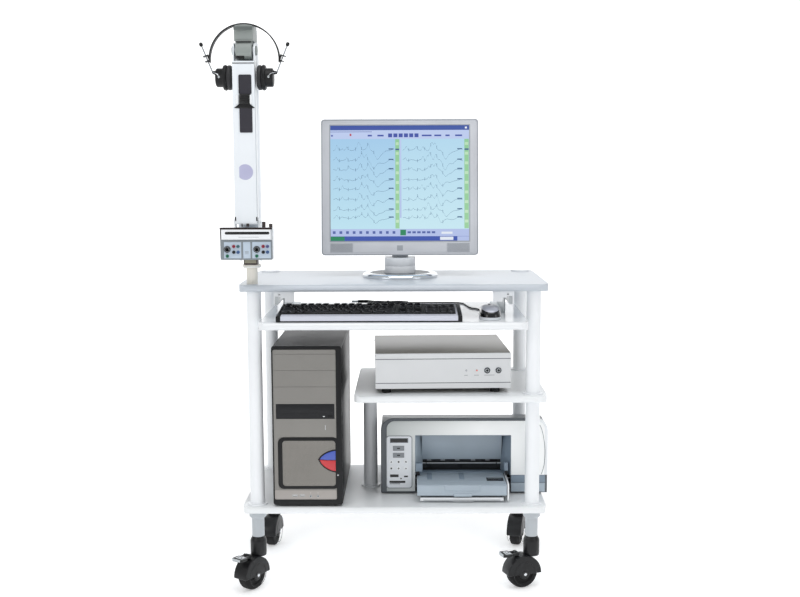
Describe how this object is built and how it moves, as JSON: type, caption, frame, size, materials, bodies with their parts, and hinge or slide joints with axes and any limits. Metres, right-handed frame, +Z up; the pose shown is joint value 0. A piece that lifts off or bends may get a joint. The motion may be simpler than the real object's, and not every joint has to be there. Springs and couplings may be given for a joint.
{
  "type": "hearing test workstation",
  "caption": "Wheeled hearing-test workstation: shelved trolley with pull-out keyboard tray, screen, tower computer, amplifier, printer and a folding arm with electrode box and headset.",
  "frame": {"origin": "on the floor, under the middle of the whole object's bounding box", "axes": "+X to the right as the user sees it, +Y away from the user, +Z up; the keyboard, the screen and the head box face -Y"},
  "size_m": [0.872, 0.476, 1.4303],
  "materials": {
    "shelf_board": "smooth laminate, very light grey",
    "top_board": "smooth laminate, cool light grey",
    "post_steel": "white powder coat",
    "sleeve_grey": "light grey powder coat",
    "rail_steel": "zinc plated sheet",
    "rubber": "matte",
    "arm_cream": "cream white powder coat",
    "arm_white": "white painted cover",
    "elbow_grey": "satin grey",
    "bracket_dark": "dark paint",
    "caster_black": "satin black nylon",
    "tread": "black rubber tread",
    "tray_white": "smooth white laminate",
    "key_black": "satin black",
    "case_black": "gloss black with a lilac strip",
    "mouse_silver": "silver and black",
    "mouse_pale": "pale lilac grey",
    "cord_black": "black jacket",
    "bezel_silver": "metallic silver paint",
    "cover_grey": "satin grey",
    "screen": "lit screen behind clear film",
    "stand_silver": "silver neck, chromed ring",
    "tower_black": "textured black",
    "tower_grey": "warm grey",
    "drive_black": "black",
    "button_blue": "blue",
    "button_red": "red",
    "amp_taupe": "taupe grey gloss paint",
    "amp_silver": "silver front plate",
    "socket_black": "black sockets",
    "printer_dark": "dark grey shell",
    "printer_silver": "silver white front",
    "paper_white": "white",
    "flap_blue_grey": "bluish grey",
    "box_white": "white",
    "box_pane": "light blue-grey",
    "band_steel": "black",
    "rod_steel": "bright steel with black tips",
    "cup_black": "satin black",
    "cushion_black": "soft black artificial leather"
  },
  "bodies": {
    "trolley": {"base_shelf": "shelf_board", "middle_shelf": "shelf_board", "top_shelf": "top_board", "posts": "post_steel", "caster_sleeves": "sleeve_grey", "tray_slides": "rail_steel", "rubber_feet": "rubber", "arm_post": "arm_cream", "monitor_stand": "stand_silver", "tower_case": "tower_black", "tower_bezel": "tower_grey", "amplifier_chassis": "amp_taupe", "amplifier_lid": "amp_taupe", "amplifier_panel": "amp_silver", "amplifier_sockets": "socket_black", "printer_body": "printer_dark", "printer_fascia": "printer_silver"},
    "keyboard_shelf": {"keyboard_tray": "tray_white", "tray_runners": "rail_steel", "keyboard_case": "case_black", "keyboard_keys": "key_black", "mouse_base": "mouse_pale", "mouse_shell": "mouse_silver", "mouse_cord": "cord_black", "mouse_cord_hank": "cord_black", "mouse_plug": "cord_black"},
    "space_key": {"space_bar": "key_black"},
    "scroll_wheel": {"mouse_wheel": "rubber"},
    "monitor_head": {"monitor_bezel": "bezel_silver", "monitor_back_cover": "cover_grey", "monitor_panel": "screen"},
    "optical_drive": {"optical_drive_tray": "drive_black"},
    "power_key": {"power_button": "button_blue"},
    "reset_key": {"reset_button": "button_red"},
    "paper_drawer": {"printer_paper_tray": "paper_white"},
    "output_flap": {"printer_tray_lid": "flap_blue_grey"},
    "swivel": {"arm_swivel": "bracket_dark"},
    "lower_link": {"lower_arm": "arm_white", "elbow_block": "elbow_grey"},
    "upper_link": {"upper_arm": "arm_white"},
    "head_box": {"head_box_case": "box_white", "head_box_panel": "box_pane", "head_box_sockets": "socket_black"},
    "headset": {"headband": "band_steel"},
    "left_slider": {"left_slider_rod": "rod_steel"},
    "right_slider": {"right_slider_rod": "rod_steel"},
    "left_cup": {"left_earphone": "cup_black", "left_cushion": "cushion_black"},
    "right_cup": {"right_earphone": "cup_black", "right_cushion": "cushion_black"},
    "caster_fl": {"caster_fork_fl": "caster_black"},
    "wheel_fl": {"caster_wheel_fl": "tread"},
    "brake_fl": {"brake_pedal_fl": "caster_black"},
    "caster_fr": {"caster_fork_fr": "caster_black"},
    "wheel_fr": {"caster_wheel_fr": "tread"},
    "brake_fr": {"brake_pedal_fr": "caster_black"},
    "caster_rl": {"caster_fork_rl": "caster_black"},
    "wheel_rl": {"caster_wheel_rl": "tread"},
    "caster_rr": {"caster_fork_rr": "caster_black"},
    "wheel_rr": {"caster_wheel_rr": "tread"}
  },
  "joints": [
    {"name": "caster_swivel_fl", "type": "hinge", "parent": "trolley", "child": "caster_fl", "pos_m": [-0.32404, -0.14, 0.135], "axis": [0, 0, 1], "continuous": true},
    {"name": "wheel_spin_fl", "type": "hinge", "parent": "caster_fl", "child": "wheel_fl", "pos_m": [-0.33914, -0.16238, 0.04], "axis": [0.829, -0.5592, 0], "continuous": true},
    {"name": "brake_press_fl", "type": "hinge", "parent": "caster_fl", "child": "brake_fl", "pos_m": [-0.34864, -0.17648, 0.09182], "axis": [0.829, -0.5592, 0], "range_deg": [0, 12]},
    {"name": "caster_swivel_fr", "type": "hinge", "parent": "trolley", "child": "caster_fr", "pos_m": [0.38596, -0.14, 0.135], "axis": [0, 0, 1], "continuous": true},
    {"name": "wheel_spin_fr", "type": "hinge", "parent": "caster_fr", "child": "wheel_fr", "pos_m": [0.36059, -0.14923, 0.04], "axis": [0.342, -0.9397, 0], "continuous": true},
    {"name": "brake_press_fr", "type": "hinge", "parent": "caster_fr", "child": "brake_fr", "pos_m": [0.34461, -0.15505, 0.09182], "axis": [0.342, -0.9397, 0], "range_deg": [0, 12]},
    {"name": "caster_swivel_rl", "type": "hinge", "parent": "trolley", "child": "caster_rl", "pos_m": [-0.32404, 0.2, 0.135], "axis": [0, 0, 1], "continuous": true},
    {"name": "wheel_spin_rl", "type": "hinge", "parent": "caster_rl", "child": "wheel_rl", "pos_m": [-0.3278, 0.17326, 0.04], "axis": [0.9903, -0.1392, 0], "continuous": true},
    {"name": "caster_swivel_rr", "type": "hinge", "parent": "trolley", "child": "caster_rr", "pos_m": [0.38596, 0.2, 0.135], "axis": [0, 0, 1], "continuous": true},
    {"name": "wheel_spin_rr", "type": "hinge", "parent": "caster_rr", "child": "wheel_rr", "pos_m": [0.37897, 0.17392, 0.04], "axis": [0.9659, -0.2588, 0], "continuous": true},
    {"name": "tray_slide", "type": "slide", "parent": "trolley", "child": "keyboard_shelf", "axis": [0, -1, 0], "range_m": [-0.05, 0.25]},
    {"name": "space_bar_press", "type": "slide", "parent": "keyboard_shelf", "child": "space_key", "axis": [0, 0.0748, -0.9972], "range_m": [0, 0.0025], "stiffness_N_per_m": 250, "springref_m": -0.001},
    {"name": "mouse_wheel_roll", "type": "hinge", "parent": "keyboard_shelf", "child": "scroll_wheel", "pos_m": [0.27396, -0.1265, 0.7275], "axis": [1, 0, 0], "continuous": true},
    {"name": "monitor_tilt", "type": "hinge", "parent": "trolley", "child": "monitor_head", "pos_m": [0.04596, 0.0998, 0.93759], "axis": [1, 0, 0], "range_deg": [-15, 5]},
    {"name": "optical_tray_slide", "type": "slide", "parent": "trolley", "child": "optical_drive", "axis": [0, -1, 0], "range_m": [0, 0.14]},
    {"name": "power_press", "type": "slide", "parent": "trolley", "child": "power_key", "axis": [0, 1, 0], "range_m": [0, 0.002], "stiffness_N_per_m": 300, "springref_m": -0.001},
    {"name": "reset_press", "type": "slide", "parent": "trolley", "child": "reset_key", "axis": [0, 1, 0], "range_m": [0, 0.002], "stiffness_N_per_m": 300, "springref_m": -0.001},
    {"name": "paper_tray_slide", "type": "slide", "parent": "trolley", "child": "paper_drawer", "axis": [0, -1, 0], "range_m": [0, 0.1]},
    {"name": "output_flap_lift", "type": "hinge", "parent": "trolley", "child": "output_flap", "pos_m": [0.21196, -0.03, 0.255], "axis": [-1, 0, 0], "range_deg": [0, 60]},
    {"name": "arm_turn", "type": "hinge", "parent": "trolley", "child": "swivel", "pos_m": [-0.32704, -0.14, 0.845], "axis": [0, 0, 1], "range_deg": [-90, 45]},
    {"name": "shoulder_lean", "type": "hinge", "parent": "swivel", "child": "lower_link", "pos_m": [-0.32704, -0.15, 0.868], "axis": [1, 0, 0], "range_deg": [0, 40]},
    {"name": "elbow_lift", "type": "hinge", "parent": "lower_link", "child": "upper_link", "pos_m": [-0.32704, -0.192, 1.366], "axis": [-1, 0, 0], "range_deg": [0, 95]},
    {"name": "head_box_tilt", "type": "hinge", "parent": "upper_link", "child": "head_box", "pos_m": [-0.32704, -0.201, 0.953], "axis": [-1, 0, 0], "range_deg": [-3, 25]},
    {"name": "headset_lift", "type": "slide", "parent": "lower_link", "child": "headset", "axis": [0, 0, 1], "range_m": [0, 0.12]},
    {"name": "left_rod_slide", "type": "slide", "parent": "headset", "child": "left_slider", "axis": [-0.3746, 0, 0.9272], "range_m": [0, 0.02]},
    {"name": "left_cup_swing", "type": "hinge", "parent": "left_slider", "child": "left_cup", "pos_m": [-0.40154, -0.195, 1.3133], "axis": [0, -1, 0], "range_deg": [-7, 2.5]},
    {"name": "right_rod_slide", "type": "slide", "parent": "headset", "child": "right_slider", "axis": [0.3746, 0, 0.9272], "range_m": [0, 0.02]},
    {"name": "right_cup_swing", "type": "hinge", "parent": "right_slider", "child": "right_cup", "pos_m": [-0.25254, -0.195, 1.3133], "axis": [0, 1, 0], "range_deg": [-7, 2.5]}
  ]
}
